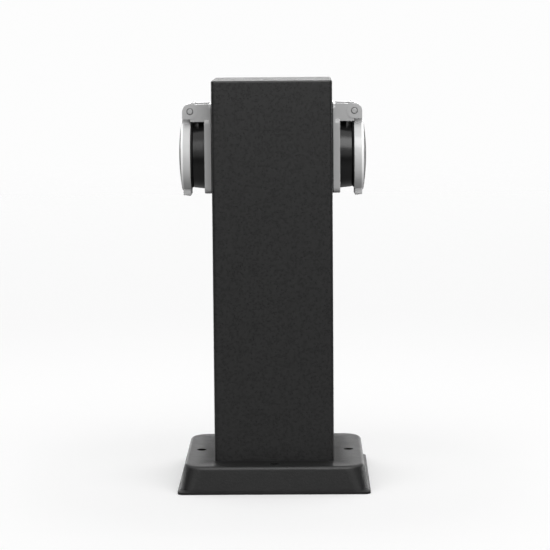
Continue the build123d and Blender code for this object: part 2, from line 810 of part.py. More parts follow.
def make_lid():
    shell = Pos(0, 0, socket_axis_z) * revolve(lid_outline(), axis=Axis.X)
    groove_inner = seal_inner - 2 * seal_groove_gap
    groove_outer = seal_outer + 2 * seal_groove_gap
    groove_x = lid_inner_x + seal_depth + seal_groove_gap
    groove = rod_x(groove_outer, lid_inner_x - cut_overrun, groove_x, z=socket_axis_z)
    groove -= rod_x(groove_inner, 0, groove_x + cut_overrun, z=socket_axis_z)
    half = tab_width / 2
    lift_tab = block(tab_inner_x, tab_outer_x, -half, half, tab_low_z, tab_top_z)
    ends = lift_tab.edges().filter_by(Axis.X).group_by(Axis.Z)[0]
    lift_tab = fillet(ends, tab_radius)
    lift_tab -= rod_x(lid_diameter - lid_wall, 0, arm_tip_x * 2, z=socket_axis_z)
    slant = (tab_slant / (tab_outer_x - tab_inner_x)) * (arm_tip_x - tab_inner_x)
    low_z = tab_low_z - cut_overrun
    under_tab = make_face(Polyline([
        (tab_inner_x, 0, tab_low_z), (arm_tip_x, 0, tab_low_z + slant),
        (arm_tip_x, 0, low_z), (tab_inner_x, 0, low_z),
    ], close=True))
    lift_tab -= side_plate(under_tab, -half, half)
    tab_rib = block(
        lid_inner_x, tab_inner_x, -tab_rib_width / 2, tab_rib_width / 2, tab_rib_low_z, tab_top_z
    )
    tab_rib -= rod_x(lid_diameter - lid_wall, 0, arm_tip_x * 2, z=socket_axis_z)
    web_x = pin_x + barrel_radius
    outer_x = pin_x + hood_radius
    web = block(web_x, outer_x, -lid_hinge_y, lid_hinge_y, web_low_z, pin_z)
    rib = block(web_rib_x, outer_x, barrel_inner_y, lid_hinge_y, web_low_z, pin_z)
    leg_x = pin_x + coil_diameter / 2
    leg_rib_x = leg_x - wire / 2 - turn_gap
    leg_rib_top_z = pin_z - coil_diameter / 2 - wire / 2 - turn_gap
    leg_rib = block(
        leg_rib_x - leg_rib_thickness, leg_rib_x, -barrel_inner_y - thread_gap,
        barrel_inner_y + thread_gap, leg_rib_low_z, leg_rib_top_z,
    )
    barrel = make_barrel(barrel_inner_y, lid_hinge_y)
    lid = shell + lift_tab + tab_rib + web + leg_rib + make_hood()
    for piece in (rib, barrel):
        lid += piece + mirror(piece, Plane.XZ)
    lid -= rod_x(lid_hollow_diameter, 0, lid_rim_x, z=socket_axis_z) + groove
    return lid - rod_y(pin_diameter + 2 * thread_gap, -half_column, half_column, pin_x, pin_z)


def make_lid_seal():
    inner = seal_inner / 2
    outer = seal_outer / 2
    back_x = lid_inner_x + seal_depth
    face_x = lid_inner_x - seal_lip
    middle = (inner + outer) / 2
    return socket_turned([
        (back_x, inner), (back_x, outer), (lid_inner_x, outer), (face_x, middle + wire),
        (face_x, middle - wire), (lid_inner_x, inner),
    ])


def spring_start_y():
    return -coil_pitch * coil_quarter_turns / 4 / 2


def spring_point(turn):
    """Place and heading on the coil after some turns: it starts on top and runs clockwise."""
    radius = coil_diameter / 2
    angle = math.radians(90 - 360 * turn)
    rise = coil_pitch / (2 * math.pi * radius)
    place = Vector(
        pin_x + radius * math.cos(angle), spring_start_y() + coil_pitch * turn,
        pin_z + radius * math.sin(angle),
    )
    heading = Vector(math.sin(angle), rise, -math.cos(angle)).normalized()
    return place, heading


def biarc(start, start_heading, end, end_heading):
    """Two arcs that leave and arrive along the given headings."""
    chord = end - start
    total = start_heading + end_heading
    a = 2 * (1 - start_heading.dot(end_heading))
    b = 2 * chord.dot(total)
    c = -chord.dot(chord)
    reach = (-b + math.sqrt(b * b - 4 * a * c)) / (2 * a)
    first = start + start_heading * reach
    second = end - end_heading * reach
    joint = (first + second) / 2
    joint_heading = (second - first).normalized()
    return [
        Edge.make_tangent_arc(start, start_heading, joint),
        Edge.make_tangent_arc(joint, joint_heading, end),
    ]


def make_lid_spring():
    """One torsion spring: a leg to the frame, the coil in quarter turns, a leg down the lid."""
    stations = [spring_point(step / 4) for step in range(coil_quarter_turns + 1)]
    edges = []
    start, heading = stations[0]
    edges.append(Edge.make_line(start - heading * leg_in_length, start))
    for (here, here_heading), (there, there_heading) in zip(stations, stations[1:]):
        edges += biarc(here, here_heading, there, there_heading)
    end, end_heading = stations[-1]
    edges.append(Edge.make_line(end, end + end_heading * leg_down_length))
    print("least gap between the turns of the lid spring:", round(spring_gap(), 3), "mm")
    path = Wire(edges)
    section = Plane(origin=start - heading * leg_in_length, z_dir=heading) * Circle(wire / 2)
    return sweep(section, path=path)


def spring_gap():
    """The least distance between the surfaces of turns next to each other, on points."""
    steps = 16
    count = steps * coil_quarter_turns // 4
    points = [spring_point(step / steps)[0] for step in range(count + 1)]
    least = min(
        (points[i] - points[j]).length
        for i in range(len(points)) for j in range(i + steps // 2, len(points))
    )
    return least - wire


def make_socket_insert():
    body = insert_diameter / 2
    rim = insert_rim_diameter / 2
    root = collar_root_diameter / 2
    face = collar_face_diameter / 2
    recess = recess_diameter / 2
    insert = socket_turned([
        (floor_back_x, 0), (floor_back_x, body), (gasket_face_x, body), (gasket_face_x, rim),
        (insert_rim_x, rim), (insert_rim_x, root), (frame_face_x, root),
        (insert_face_x - collar_chamfer, face), (insert_face_x, face - collar_chamfer),
        (insert_face_x, recess + recess_chamfer), (insert_face_x - recess_chamfer, recess),
        (floor_face_x, recess), (floor_face_x, 0),
    ])
    guide_x = insert_face_x - guide_set_back
    for side in (-1, 1):
        near = side * (recess - guide_height)
        far = side * (recess + fit_gap)
        low_y, high_y = min(near, far), max(near, far)
        half = guide_width / 2
        insert += block(
            floor_face_x, guide_x, low_y, high_y, socket_axis_z - half, socket_axis_z + half
        )
    for y in (-pin_spacing / 2, pin_spacing / 2):
        hole = pin_hole / 2
        lead_x = floor_face_x - pin_lead_in
        outline = [
            (floor_back_x - cut_overrun, 0), (floor_back_x - cut_overrun, hole), (lead_x, hole),
            (floor_face_x, hole + pin_lead_in), (floor_face_x + cut_overrun, hole + pin_lead_in),
            (floor_face_x + cut_overrun, 0),
        ]
        insert -= Pos(0, y, socket_axis_z) * turned(outline)
    tip_x = insert_face_x - tongue_tip_set_back + tongue_room
    half = earth_strip_width / 2 + fit_gap
    near = tongue_root_radius - fit_gap
    far = tongue_root_radius + earth_strip_thickness + tongue_room
    slot = block(floor_back_x - cut_overrun, tip_x, -half, half, near, far)
    insert -= Pos(0, 0, socket_axis_z) * slot
    insert -= Pos(0, 0, socket_axis_z) * (Rot(180, 0, 0) * slot)
    head_x = floor_face_x - centre_screw_head_height
    insert -= rod_x(centre_screw_head + fit_gap, head_x, insert_face_x, z=socket_axis_z)
    return insert - rod_x(centre_screw + 2 * fit_gap, 0, insert_face_x, z=socket_axis_z)


def make_centre_screw():
    head = centre_screw_head_height
    screw = pan_screw(centre_screw, centre_screw_length, centre_screw_head, head)
    return Pos(floor_face_x - head, 0, socket_axis_z) * (Rot(0, 90, 0) * screw)


def tongue_outline():
    """The bent strip of one scraping tongue, in the XZ plane through the socket's axis."""
    thick = earth_strip_thickness
    back_x = floor_back_x - thick
    bend_x = floor_face_x + tongue_straight
    bump_x = insert_face_x - tongue_bump_set_back
    tip_x = insert_face_x - tongue_tip_set_back
    inner = [
        (floor_back_x, tongue_root_radius), (bend_x, tongue_root_radius),
        (bump_x, tongue_bump_radius), (tip_x, tongue_tip_radius),
    ]
    outer = [
        (tip_x, tongue_tip_radius + thick), (bump_x, tongue_bump_radius + thick),
        (bend_x, tongue_root_radius + thick), (back_x, tongue_root_radius + thick),
        (back_x, tongue_root_radius - thick), (floor_back_x, tongue_root_radius - thick),
    ]
    return make_face(Polyline([(x, 0, socket_axis_z + r) for x, r in inner + outer], close=True))


def earth_cage_span():
    """Near and far faces of the earth cage, below the socket's axis."""
    return cage_near + earth_cage_shift, cage_far + earth_cage_shift


def make_earth_bracket():
    half = earth_strip_width / 2
    thick = earth_strip_thickness
    back_x = floor_back_x - thick
    tongue = side_plate(tongue_outline(), -half, half)
    flipped = mirror(tongue, Plane.XY.offset(socket_axis_z))
    low = socket_axis_z - tongue_root_radius
    high = socket_axis_z + tongue_root_radius
    strip = block(back_x, floor_back_x, -half, half, low, high)
    near, far = earth_cage_span()
    cage_x = cage_back_x + cage_length
    leg_z = socket_axis_z - near
    leg = block(cage_x - thick, floor_back_x, -half, half, leg_z - thick, leg_z)
    cage = make_cage(0, -1, near, far)
    bracket = strip + tongue + flipped + leg + cage
    return bracket - rod_x(centre_screw + 2 * fit_gap, back_x - cut_overrun, insert_face_x, z=socket_axis_z)


def make_cage(y, up, near, far):
    """A screw terminal above (up 1) or below (up -1) the socket's axis."""
    half = cage_width / 2
    x_high = cage_back_x + cage_length
    low, high = sorted((socket_axis_z + up * near, socket_axis_z + up * far))
    cage = block(cage_back_x, x_high, y - half, y + half, low, high)
    wire_z = cage_wire_z(up, near)
    cage -= rod_x(cage_wire_bore, cage_back_x - cut_overrun, cage_back_x + cage_wire_depth, y, wire_z)
    low, high = sorted((wire_z, socket_axis_z + up * (far + cut_overrun)))
    return cage - rod_z(terminal_screw + 2 * thread_gap, low, high, cage_back_x + cage_length / 2, y)


def cage_wire_z(up, near):
    return socket_axis_z + up * (near + cage_wire_offset - cage_near)


def make_contact(y):
    """A sleeve for one plug pin with its screw terminal above it."""
    sleeve = rod_x(sleeve_outer, sleeve_back_x, floor_back_x - fit_gap, y, socket_axis_z)
    contact = sleeve + make_cage(y, 1, cage_near, cage_far)
    contact -= rod_x(sleeve_bore, sleeve_back_x - cut_overrun, floor_back_x, y, socket_axis_z)
    slit = sleeve_slit / 2
    slit_x = cage_back_x + cage_length + fit_gap
    low_z = socket_axis_z - sleeve_outer
    return contact - block(slit_x, floor_back_x, y - slit, y + slit, low_z, socket_axis_z)


def terminal_places():
    """Each terminal's y, its side of the axis, and its cage's near and far faces."""
    near, far = earth_cage_span()
    half = pin_spacing / 2
    return [(-half, 1, cage_near, cage_far), (half, 1, cage_near, cage_far), (0, -1, near, far)]


def make_terminal_screws():
    screws = []
    for y, up, near, far in terminal_places():
        wire_top = cage_wire_offset - cage_near + wire_core / 2 + turn_gap
        length = far - near - wire_top
        head = terminal_screw_head_height
        screw = pan_screw(terminal_screw, length, terminal_screw_head, head)
        turn = Rot(0, 0, 0) if up > 0 else Rot(180, 0, 0)
        place = Pos(cage_back_x + cage_length / 2, y, socket_axis_z + up * far)
        screws.append(place * (turn * screw))
    return group(screws)


def make_contact_carrier():
    carrier = rod_x(carrier_diameter, carrier_back_x, floor_back_x, z=socket_axis_z)
    room = fit_gap
    front_x = floor_back_x + cut_overrun
    half = earth_strip_width / 2 + room
    strip_x = floor_back_x - earth_strip_thickness - room
    reach = carrier_diameter
    carrier -= block(
        strip_x, front_x, -half, half, socket_axis_z - reach, socket_axis_z + reach
    )
    for y in (-pin_spacing / 2, pin_spacing / 2):
        back_x = sleeve_back_x - room
        carrier -= rod_x(sleeve_outer + 2 * room, back_x, front_x, y, socket_axis_z)
    for y, up, near, far in terminal_places():
        wide = cage_width / 2 + room
        low, high = sorted((socket_axis_z + up * (near - room), socket_axis_z + up * (far + room)))
        if up < 0:
            high += earth_strip_thickness
        back_x = cage_back_x - room
        carrier -= block(back_x, front_x, y - wide, y + wide, low, high)
        middle_x = cage_back_x + cage_length / 2
        head = terminal_screw_head + 2 * room
        low, high = sorted((socket_axis_z + up * near, socket_axis_z + up * reach))
        carrier -= rod_z(head, low, high, middle_x, y)
        hole = wire_hole + room
        carrier -= rod_x(hole, carrier_back_x - cut_overrun, back_x + room, y, cage_wire_z(up, near))
    hole = centre_screw + 2 * thread_gap
    depth_x = floor_back_x - centre_screw_length
    return carrier - rod_x(hole, depth_x, front_x, z=socket_axis_z)


def round_path(points, radii):
    return FilletPolyline(points, radius=radii)


def corner_radii(points):
    """The largest arc for each corner: a share of its shorter run over the tangent of half its turn."""
    radii = []
    for before, here, after in zip(points, points[1:], points[2:]):
        first = Vector(*here) - Vector(*before)
        second = Vector(*after) - Vector(*here)
        half_turn = math.radians(first.get_angle(second)) / 2
        radii.append(arc_run_share * min(first.length, second.length) / math.tan(half_turn))
    return radii


def make_wire(name, points):
    radii = corner_radii(points)
    print(name, "bend radii:", [round(radius, 1) for radius in radii])
    path = round_path(points, radii)
    start = Vector(*points[0])
    heading = (Vector(*points[1]) - start).normalized()
    section = Plane(origin=start, z_dir=heading) * Circle(wire_core / 2)
    return sweep(section, path=path)


def socket_wire_points(side, pole_x, block_y, terminal):
    """The route of one wire from the block, up the middle of the column and into its terminal."""
    y, up, near, far = terminal
    z = cage_wire_z(up, near)
    lane_x = side * wire_lane_x
    low_z = block_top_z - clamp_inset - clamp_screw_inset
    end_x = side * (cage_back_x + cage_wire_depth - turn_gap)
    return [
        (pole_x, block_y, low_z), (pole_x, block_y, wire_rise_z), (lane_x, y, wire_join_z),
        (lane_x, y, z), (end_x, y, z),
    ]


def make_socket_wires():
    """The live, neutral and earth wires of both sockets, by node name."""
    near_y = block_mid_y - wire_pair_offset
    far_y = block_mid_y + wire_pair_offset
    live, neutral, earth = terminal_places()
    routes = {
        "right_live_wire": socket_wire_points(1, -pole_pitch, near_y, live),
        "left_live_wire": socket_wire_points(-1, -pole_pitch, far_y, live),
        "right_neutral_wire": socket_wire_points(1, pole_pitch, far_y, neutral),
        "left_neutral_wire": socket_wire_points(-1, pole_pitch, near_y, neutral),
        "right_earth_wire": socket_wire_points(1, 0, near_y, earth),
        "left_earth_wire": socket_wire_points(-1, 0, far_y, earth),
    }
    return {name: make_wire(name, points) for name, points in routes.items()}


def lug_low_z():
    return base_height + tab_thickness


def barrel_axis_z():
    return lug_low_z() + lug_barrel_outer / 2


def make_housing_lug():
    """A ring lug on the front right column screw, with its barrel towards the back."""
    x, y = tab_hole, -tab_hole
    low_z = lug_low_z()
    ring = rod_z(lug_outer, low_z, low_z + lug_thickness, x, y)
    barrel_y = y + lug_outer / 2 - lug_thickness
    end_y = barrel_y + lug_barrel_length
    barrel = rod_y(lug_barrel_outer, barrel_y, end_y, x, barrel_axis_z())
    lug = ring + barrel
    bore_y = barrel_y + lug_thickness
    lug -= rod_y(wire_core + 2 * thread_gap, bore_y, end_y + cut_overrun, x, barrel_axis_z())
    room = earth_nut_hex * math.tan(math.radians(30)) + fit_gap
    lug -= rod_z(2 * room, low_z + lug_thickness, bracket_top_z, x, y)
    return lug - rod_z(column_screw + 2 * fit_gap, 0, bracket_top_z, x, y)


def make_housing_nut():
    low_z = lug_low_z() + lug_thickness
    nut = hex_z(earth_nut_hex, low_z, low_z + earth_nut_height, tab_hole, -tab_hole)
    return nut - rod_z(column_screw + 2 * thread_gap, 0, bracket_top_z, tab_hole, -tab_hole)


def make_housing_wire():
    """From the lug along the wall, up beside the gland and into the block's earth pole."""
    start_y = -tab_hole + lug_outer / 2 + lug_thickness
    end_z = block_low_z + clamp_inset + clamp_screw_inset - turn_gap
    x = tab_hole
    z = barrel_axis_z()
    points = [
        (x, start_y, z), (x, housing_wire_turn_y, z), housing_wire_rise,
        (0, block_mid_y, housing_wire_under_z), (0, block_mid_y, end_z),
    ]
    return make_wire("housing_earth_wire", points)


# The free points of the housing's earth wire
housing_wire_turn_y = -3.0
housing_wire_rise = (23.0, 9.0, 35.0)
housing_wire_under_z = 48.0


def side_pieces():
    """The pieces of the right-hand socket, by the name that follows right_ or left_."""
    half = pin_spacing / 2
    return {
        "mounting_gasket": make_mounting_gasket(),
        "socket_frame": make_socket_frame(),
        "frame_screws": make_frame_screws(),
        "frame_nuts": make_frame_nuts(),
        "hinge_pin": make_hinge_pin(),
        "lid": make_lid(),
        "lid_seal": make_lid_seal(),
        "lid_spring": make_lid_spring(),
        "socket_insert": make_socket_insert(),
        "centre_screw": make_centre_screw(),
        "earth_bracket": make_earth_bracket(),
        "live_contact": make_contact(-half),
        "neutral_contact": make_contact(half),
        "terminal_screws": make_terminal_screws(),
        "contact_carrier": make_contact_carrier(),
    }


def main():
    os.makedirs("parts", exist_ok=True)
    pieces = {
        "base_plate": make_base_plate(),
        "column": make_column(),
        "corner_tabs": make_corner_tabs(),
        "column_screws": make_column_screws(),
        "gland_body": make_gland_body(),
        "gland_seal": make_gland_seal(),
        "gland_nut": make_gland_nut(),
        "gland_locknut": make_gland_locknut(),
        "terminal_bracket": make_terminal_bracket(),
        "bracket_screws": make_bracket_screws(),
        "terminal_block": make_terminal_block(),
        "clamp_bars": make_clamp_bars(),
        "clamp_screws": make_clamp_screws(),
        "block_screws": make_block_screws(),
        "housing_earth_lug": make_housing_lug(),
        "housing_earth_nut": make_housing_nut(),
        "housing_earth_wire": make_housing_wire(),
    }
    pieces.update(make_socket_wires())
    for name, shape in side_pieces().items():
        pieces["right_" + name] = shape
        pieces["left_" + name] = mirror(shape, Plane.YZ)
    for name, shape in pieces.items():
        export_step(shape, os.path.join("parts", name + ".step"))


main()
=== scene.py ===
import json
import math

import bmesh
import bpy
from mathutils import Matrix, Vector

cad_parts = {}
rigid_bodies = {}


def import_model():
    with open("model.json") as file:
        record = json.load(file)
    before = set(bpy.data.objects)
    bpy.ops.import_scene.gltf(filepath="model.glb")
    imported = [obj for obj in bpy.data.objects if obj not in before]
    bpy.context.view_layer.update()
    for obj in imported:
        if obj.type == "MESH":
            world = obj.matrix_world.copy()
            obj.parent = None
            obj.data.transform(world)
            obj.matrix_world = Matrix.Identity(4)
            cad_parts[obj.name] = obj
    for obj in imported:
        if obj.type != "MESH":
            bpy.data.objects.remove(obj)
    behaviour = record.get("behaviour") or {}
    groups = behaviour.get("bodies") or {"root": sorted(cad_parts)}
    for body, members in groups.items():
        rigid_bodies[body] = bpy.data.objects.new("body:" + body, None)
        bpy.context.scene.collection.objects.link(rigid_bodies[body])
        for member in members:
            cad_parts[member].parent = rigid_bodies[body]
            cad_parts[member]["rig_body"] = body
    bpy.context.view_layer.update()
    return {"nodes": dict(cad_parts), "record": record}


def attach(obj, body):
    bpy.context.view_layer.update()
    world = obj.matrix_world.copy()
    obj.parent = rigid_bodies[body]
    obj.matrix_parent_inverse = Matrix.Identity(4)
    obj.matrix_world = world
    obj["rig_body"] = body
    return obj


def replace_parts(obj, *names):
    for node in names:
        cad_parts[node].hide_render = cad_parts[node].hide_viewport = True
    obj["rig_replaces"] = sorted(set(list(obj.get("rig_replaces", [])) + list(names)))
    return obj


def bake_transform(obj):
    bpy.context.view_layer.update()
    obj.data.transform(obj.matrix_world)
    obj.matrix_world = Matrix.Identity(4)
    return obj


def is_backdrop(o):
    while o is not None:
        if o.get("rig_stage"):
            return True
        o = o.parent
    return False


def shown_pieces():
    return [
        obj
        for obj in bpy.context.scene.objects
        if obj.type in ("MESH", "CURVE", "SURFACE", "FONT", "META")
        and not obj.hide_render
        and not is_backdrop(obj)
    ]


# A garden power post with a round sprung lid over a socket on each side.
# Sizes of the post are in millimetres, and are turned to metres where they meet a mesh or a node.
# Sizes of the studio round it are in metres.
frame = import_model()
mm = 0.001
nodes = frame["nodes"]
sides = {"right": 1, "left": -1}
quarter = math.pi / 2

# Places on the post
top_edge_z = (270.6, 271.6)        # where the column rounds over into its top
column_inner_x = 38.0
socket_axis_z = 221.3
frame_face_x = 45.3
frame_screw_reach = 19.0           # from the socket's axis, both ways
bracket_screw_x = 15.0
bracket_screw_y = 27.0
bracket_top_z = 19.5
tab_screw_reach = 30.0             # from the middle, both ways
plateau_under_z = 15.0
fixing_reach = 50.5                # from the middle to each fixing hole, on both axes
fixing_hole_shade = (3.1, 3.5)      # from a hole's axis, where its painted shade ends
column_foot_shade = (43.0, 55.0)         # from the middle, where painted shade round the column's foot fades out

# Lids and their pins
pin_x = 55.05
pin_z = 251.0
pin_shade_ring = (2.05, 2.5)             # round the pin's axis, where painted shade fades out
lid_chamfer_x = (59.7, 61.3)
lid_chamfer_radius = (23.7, 24.9)
chamfer_fade = 0.2

# Lid springs
coil_radius = 2.9
coil_pitch = 1.35
coil_turns = 7.25
steps_per_turn = 40
spring_wire = 0.8
spring_tail = 7.6
spring_leg = 5.1
twist_clearance = 0.05             # between the coil and where its twist starts
cover_slot_angles = (24, 96)       # degrees round the pin, from level
cover_slot_radii = (3.2, 5.8)      # from inside a lid's hinge cover to outside it
cover_slot_clearance = 0.12        # each side of the spring's leg
cover_slot_steps = 12

# Screws and nuts
thread_pitch = 0.8
thread_ridge = 0.34                # of the pitch
thread_steps = 20                  # in each turn
crown_power = 0.45                 # how full a pan head is: 1 would be half an ellipse
recess_depth = 1.0
recess_arm = 0.24                  # of the recess's width
nut_chamfer_end = 0.475            # of the width across flats
nut_chamfer_slope = math.sqrt(3)   # 30 degrees from the nut's end
nut_chamfer_spare = 0.25           # of the nut's height, past each of its ends


# Finishes

class Tone:
    """One value in a finish, for use in plain arithmetic."""

    def __init__(self, finish, socket):
        self.finish = finish
        self.socket = socket

    def work(self, operation, first, second):
        settings = {"operation": operation}
        return self.finish.add("ShaderNodeMath", settings, {0: first, 1: second})

    def __add__(self, other):
        return self.work("ADD", self, other)

    def __radd__(self, other):
        return self.work("ADD", other, self)

    def __rsub__(self, other):
        return self.work("SUBTRACT", other, self)

    def __mul__(self, other):
        return self.work("MULTIPLY", self, other)

    def __rmul__(self, other):
        return self.work("MULTIPLY", other, self)

    def or_less(self, other):
        return self.work("MINIMUM", self, other)

    def or_more(self, other):
        return self.work("MAXIMUM", self, other)


class Finish:
    """A material, or the world, whose nodes are added one at a time."""

    def __init__(self, owner):
        self.owner = owner
        owner.use_nodes = True
        self.tree = owner.node_tree

    def add(self, kind, settings=None, values=None, output=0):
        node = self.tree.nodes.new(kind)
        for name, value in (settings or {}).items():
            setattr(node, name, value)
        for name, value in (values or {}).items():
            self.feed(node.inputs[name], value)
        return Tone(self, node.outputs[output])

    def feed(self, socket, value):
        if isinstance(value, Tone):
            self.tree.links.new(value.socket, socket)
        else:
            socket.default_value = value

    def place(self):
        return self.add("ShaderNodeTexCoord", output="Object")

    def mirrored_place(self):
        """The place on the post, with its left and back folded onto its right and front."""
        return self.add("ShaderNodeVectorMath", {"operation": "ABSOLUTE"}, {0: self.place()})

    def scaled(self, vector, shares):
        return self.add("ShaderNodeVectorMath", {"operation": "MULTIPLY"}, {0: vector, 1: shares})

    def distance(self, first, second):
        settings = {"operation": "DISTANCE"}
        return self.add("ShaderNodeVectorMath", settings, {0: first, 1: second}, output="Value")

    def parts(self, vector, axes):
        return [
            self.add("ShaderNodeSeparateXYZ", {}, {0: vector}, output=axis) for axis in axes
        ]

    def speckle(self, size, detail=2.0, stretch=(1, 1, 1), roughness=0.5):
        """Soft noise whose grains are about size millimetres across."""
        place = self.scaled(self.place(), stretch)
        values = {
            "Vector": place, "Scale": 1 / (size * mm), "Detail": detail, "Roughness": roughness,
        }
        return self.add("ShaderNodeTexNoise", {}, values)

    def spread(self, tone, low, high, to_low=0.0, to_high=1.0):
        """Eases from one value to another while the tone goes from low to high."""
        settings = {"interpolation_type": "SMOOTHSTEP"}
        values = {0: tone, 1: low, 2: high, 3: to_low, 4: to_high}
        return self.add("ShaderNodeMapRange", settings, values)

    def past(self, reach, edge):
        """0 nearer than the edge and 1 past it. Edge is where it starts and ends, in millimetres."""
        start, end = edge
        return self.spread(reach, start * mm, end * mm)

    def band(self, reach, limits, fade):
        """1 between two distances in millimetres, and 0 outside them."""
        start, end = limits
        return self.past(reach, (start, start + fade)) * (1 - self.past(reach, (end - fade, end)))

    def between(self, share, first, second):
        """A colour between two others."""
        values = {0: share, 6: first, 7: second}
        return self.add("ShaderNodeMix", {"data_type": "RGBA"}, values, output=2)


def grey(level, warmth=0.0):
    return (level * (1 + warmth), level, level * (1 - warmth), 1)


def new_finish(name, constants):
    finish = Finish(bpy.data.materials.new(name))
    finish.shader = finish.tree.nodes["Principled BSDF"]
    for socket, value in constants.items():
        finish.shader.inputs[socket].default_value = value
    return finish


def dress(finish, colour, roughness, height, depth):
    """Feeds the shader what changes over the surface. Depth is the grain's, in millimetres."""
    inputs = finish.shader.inputs
    finish.feed(inputs["Base Color"], colour)
    finish.feed(inputs["Roughness"], roughness)
    values = {"Strength": 1.0, "Distance": depth * mm, "Height": height}
    finish.feed(inputs["Normal"], finish.add("ShaderNodeBump", {}, values))
    return finish.owner


def powder_coat():
    """Fine textured charcoal powder coat: flecks, an orange peel and a little cloud."""
    finish = new_finish("powder_coat", {"Specular IOR Level": 0.45})
    grain = finish.speckle(0.5, detail=3.0, roughness=0.7)
    peel = finish.speckle(1.7)
    cloud = finish.speckle(22.0)
    fleck = finish.spread(grain, 0.36, 0.66)
    mottle = finish.spread(peel, 0.34, 0.66)
    share = fleck * 0.5 + mottle * 0.35 + cloud * 0.15
    colour = finish.between(share, grey(0.003), grey(0.017))
    roughness = 0.25 + 0.13 * fleck + 0.05 * mottle
    height, = finish.parts(finish.place(), "Z")
    start, end = top_edge_z
    flat_top = finish.spread(height, start * mm, end * mm, to_low=1.0, to_high=0.25)
    relief = (grain * 0.65 + peel * 0.6) * flat_top
    return dress(finish, colour, roughness, relief, depth=0.16)


def base_grain():
    """Satin charcoal with a fine leather-like grain and scuffs, and painted shade round the column's
    foot and in the fixing holes.
    """
    finish = new_finish("base_grain", {"Specular IOR Level": 0.45})
    grain = finish.speckle(0.4, detail=3.0, roughness=0.65)
    pebble = finish.speckle(1.5)
    cloud = finish.speckle(9.0, detail=3.0)
    scuff = finish.spread(finish.speckle(3.0, detail=4.0, stretch=(1, 6, 1)), 0.66, 0.8)
    share = finish.spread(grain, 0.3, 0.7) * 0.6 + cloud * 0.3 + scuff * 0.1
    place = finish.mirrored_place()
    flat = finish.scaled(place, (1, 1, 0))
    # Painted shade: the plateau's colour goes dark in and round each fixing hole.
    side_hole, front_hole = [
        finish.distance(flat, hole)
        for hole in ((fixing_reach * mm, 0.0, 0.0), (0.0, fixing_reach * mm, 0.0))
    ]
    clear = finish.past(side_hole.or_less(front_hole), fixing_hole_shade)
    # Painted shade: the plateau's colour darkens round the column's foot, where its shadow falls.
    sideways, forward = finish.parts(place, "XY")
    beyond_column_shade = finish.past(sideways.or_more(forward), column_foot_shade)
    colour = finish.between(share * clear * beyond_column_shade, grey(0.0), grey(0.014))
    roughness = (
        0.26 + 0.12 * grain + 0.16 * cloud + 0.1 * scuff
        + 0.6 * (1 - clear) + 0.12 * (1 - beyond_column_shade)
    )
    return dress(finish, colour, roughness, grain * 0.5 + pebble * 0.7, depth=0.16)


def shade_round_pin(finish):
    """Painted shade in the ring round each end of a hinge pin."""
    flat = finish.scaled(finish.mirrored_place(), (1, 0, 1))
    away = finish.distance(flat, (pin_x * mm, 0.0, pin_z * mm))
    return 1 - finish.past(away, pin_shade_ring)


def highlight_on_edge(finish):
    """The chamfer round a lid's face, painted pale as a highlight all along it."""
    place = finish.mirrored_place()
    out, = finish.parts(place, "X")
    flat = finish.scaled(place, (0, 1, 1))
    away = finish.distance(flat, (0.0, 0.0, socket_axis_z * mm))
    chamfer = finish.band(out, lid_chamfer_x, chamfer_fade)
    return chamfer * finish.band(away, lid_chamfer_radius, chamfer_fade)


def moulded_plastic(
    name, dark, light, smoothest, roughest, depth=0.03, specular=0.45, lid_painted_light=False,
):
    """Moulded plastic with the fine spark-worn grain of its mould and slow shifts in tone."""
    finish = new_finish(name, {"Specular IOR Level": specular})
    grain = finish.speckle(0.35)
    cloud = finish.speckle(11.0)
    rub = finish.spread(finish.speckle(2.2, detail=4.0), 0.6, 0.85)
    colour = finish.between(cloud * 0.6 + grain * 0.4, dark, light)
    if lid_painted_light:
        # Painted shade round each hinge pin.
        colour = finish.between(shade_round_pin(finish) * 0.75, colour, grey(0.02))
        # Painted highlight along each lid's chamfer.
        colour = finish.between(highlight_on_edge(finish), colour, grey(0.66))
    roughness = smoothest + (roughest - smoothest) * (grain * 0.6 + rub * 0.4)
    return dress(finish, colour, roughness, grain, depth)


def black_rubber():
    """Matt rubber with pale dust caught in its grain."""
    finish = new_finish("black_rubber", {"Specular IOR Level": 0.3})
    grain = finish.speckle(0.6, detail=4.0)
    dust = finish.spread(finish.speckle(3.0, detail=5.0, roughness=0.7), 0.52, 0.8)
    colour = finish.between(dust * 0.5 + grain * 0.2, grey(0.009), grey(0.05))
    return dress(finish, colour, 0.62 + 0.2 * grain, grain, depth=0.05)


def plated_steel():
    """Zinc-plated steel: drawn lines, soft clouds of tone and small dull spots."""
    finish = new_finish("plated_steel", {"Metallic": 1.0})
    lines = finish.speckle(0.25, stretch=(1, 1, 0.08))
    cloud = finish.speckle(4.0, detail=3.0)
    spot = finish.spread(finish.speckle(0.9, detail=3.0), 0.6, 0.75)
    colour = finish.between(cloud * 0.6 + spot * 0.4, grey(0.62), grey(0.42, warmth=0.03))
    return dress(finish, colour, 0.24 + 0.14 * lines + 0.2 * spot, lines, depth=0.006)


def dull_zinc():
    """The hinge pins: pale, dull zinc with a soft mottle."""
    finish = new_finish("dull_zinc", {"Metallic": 0.7})
    mottle = finish.speckle(0.7, detail=3.0)
    lines = finish.speckle(0.3, stretch=(1, 0.1, 1))
    colour = finish.between(mottle, grey(0.50), grey(0.36))
    return dress(finish, colour, 0.42 + 0.2 * mottle, lines, depth=0.006)


def spring_steel():
    """Drawn stainless wire, smooth, with fine lines."""
    finish = new_finish("spring_steel", {"Metallic": 1.0})
    lines = finish.speckle(0.15, stretch=(1, 0.2, 1))
    cloud = finish.speckle(1.5)
    colour = finish.between(cloud, grey(0.66), grey(0.48))
    return dress(finish, colour, 0.18 + 0.14 * lines, lines, depth=0.004)


